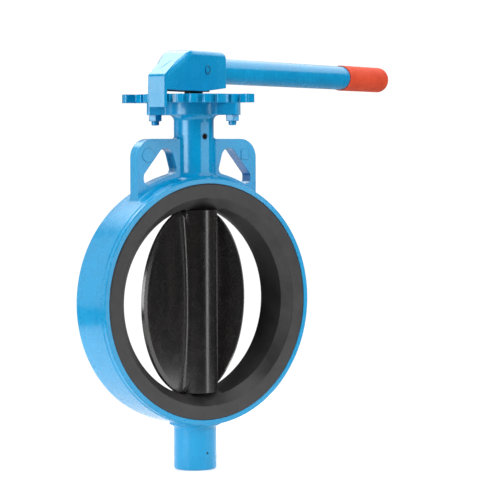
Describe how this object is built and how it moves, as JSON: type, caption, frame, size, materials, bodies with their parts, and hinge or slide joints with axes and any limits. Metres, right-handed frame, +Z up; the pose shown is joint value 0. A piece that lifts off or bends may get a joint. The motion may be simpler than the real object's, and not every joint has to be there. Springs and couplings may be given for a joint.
{
  "type": "butterfly valve",
  "caption": "Wafer butterfly valve with a rubber-lined ring body, a tilting disc on a vertical stem, a notched indexing plate and a long hand lever with a soft grip.",
  "frame": {"origin": "centre of the bore, on the stem axis, midway between the two flange faces", "axes": "+Z up the stem towards the lever, +Y along the flow from the front face to the back face"},
  "size_m": [0.6457, 0.3169, 0.544],
  "materials": {
    "blue_paint": "glossy enamel over a cast surface",
    "liner_rubber": "matte moulded rubber",
    "disc_coating": "smooth black coating on ductile iron",
    "stem_steel": "turned stainless steel",
    "bush_polymer": "acetal bush",
    "seal_rubber": "moulded O-ring",
    "black_steel": "black phosphated steel",
    "grip_vinyl": "dipped orange-red vinyl"
  },
  "bodies": {
    "valve_body": {"body_casting": "blue_paint", "seat_liner": "liner_rubber", "neck_bush_inner": "bush_polymer", "neck_bush_outer": "bush_polymer", "neck_bush_lower": "bush_polymer", "stem_o_rings": "seal_rubber", "neck_grub_screw": "black_steel", "lower_neck_pin": "black_steel", "notch_plate": "blue_paint", "plate_screws": "blue_paint", "plate_nuts": "blue_paint"},
    "stem_assembly": {"disc": "disc_coating", "upper_stem": "black_steel", "lower_stem": "stem_steel", "stem_circlip": "black_steel", "lever_hub": "black_steel", "hub_grub_screw": "black_steel", "pivot_pin": "blue_paint", "pivot_clip": "black_steel", "return_spring": "stem_steel"},
    "lever": {"lever_head": "blue_paint", "lever_tube": "blue_paint", "grip_cap": "grip_vinyl"}
  },
  "joints": [
    {"name": "valve_turn", "type": "hinge", "parent": "valve_body", "child": "stem_assembly", "pos_m": [0, 0, 0], "axis": [0, 0, 1], "range_deg": [-23.5, 66.5]},
    {"name": "lever_tilt", "type": "hinge", "parent": "stem_assembly", "child": "lever", "pos_m": [0, 0, 0.3004], "axis": [0.3987, -0.9171, 0], "range_deg": [0, 3], "deforming": ["return_spring"]}
  ]
}
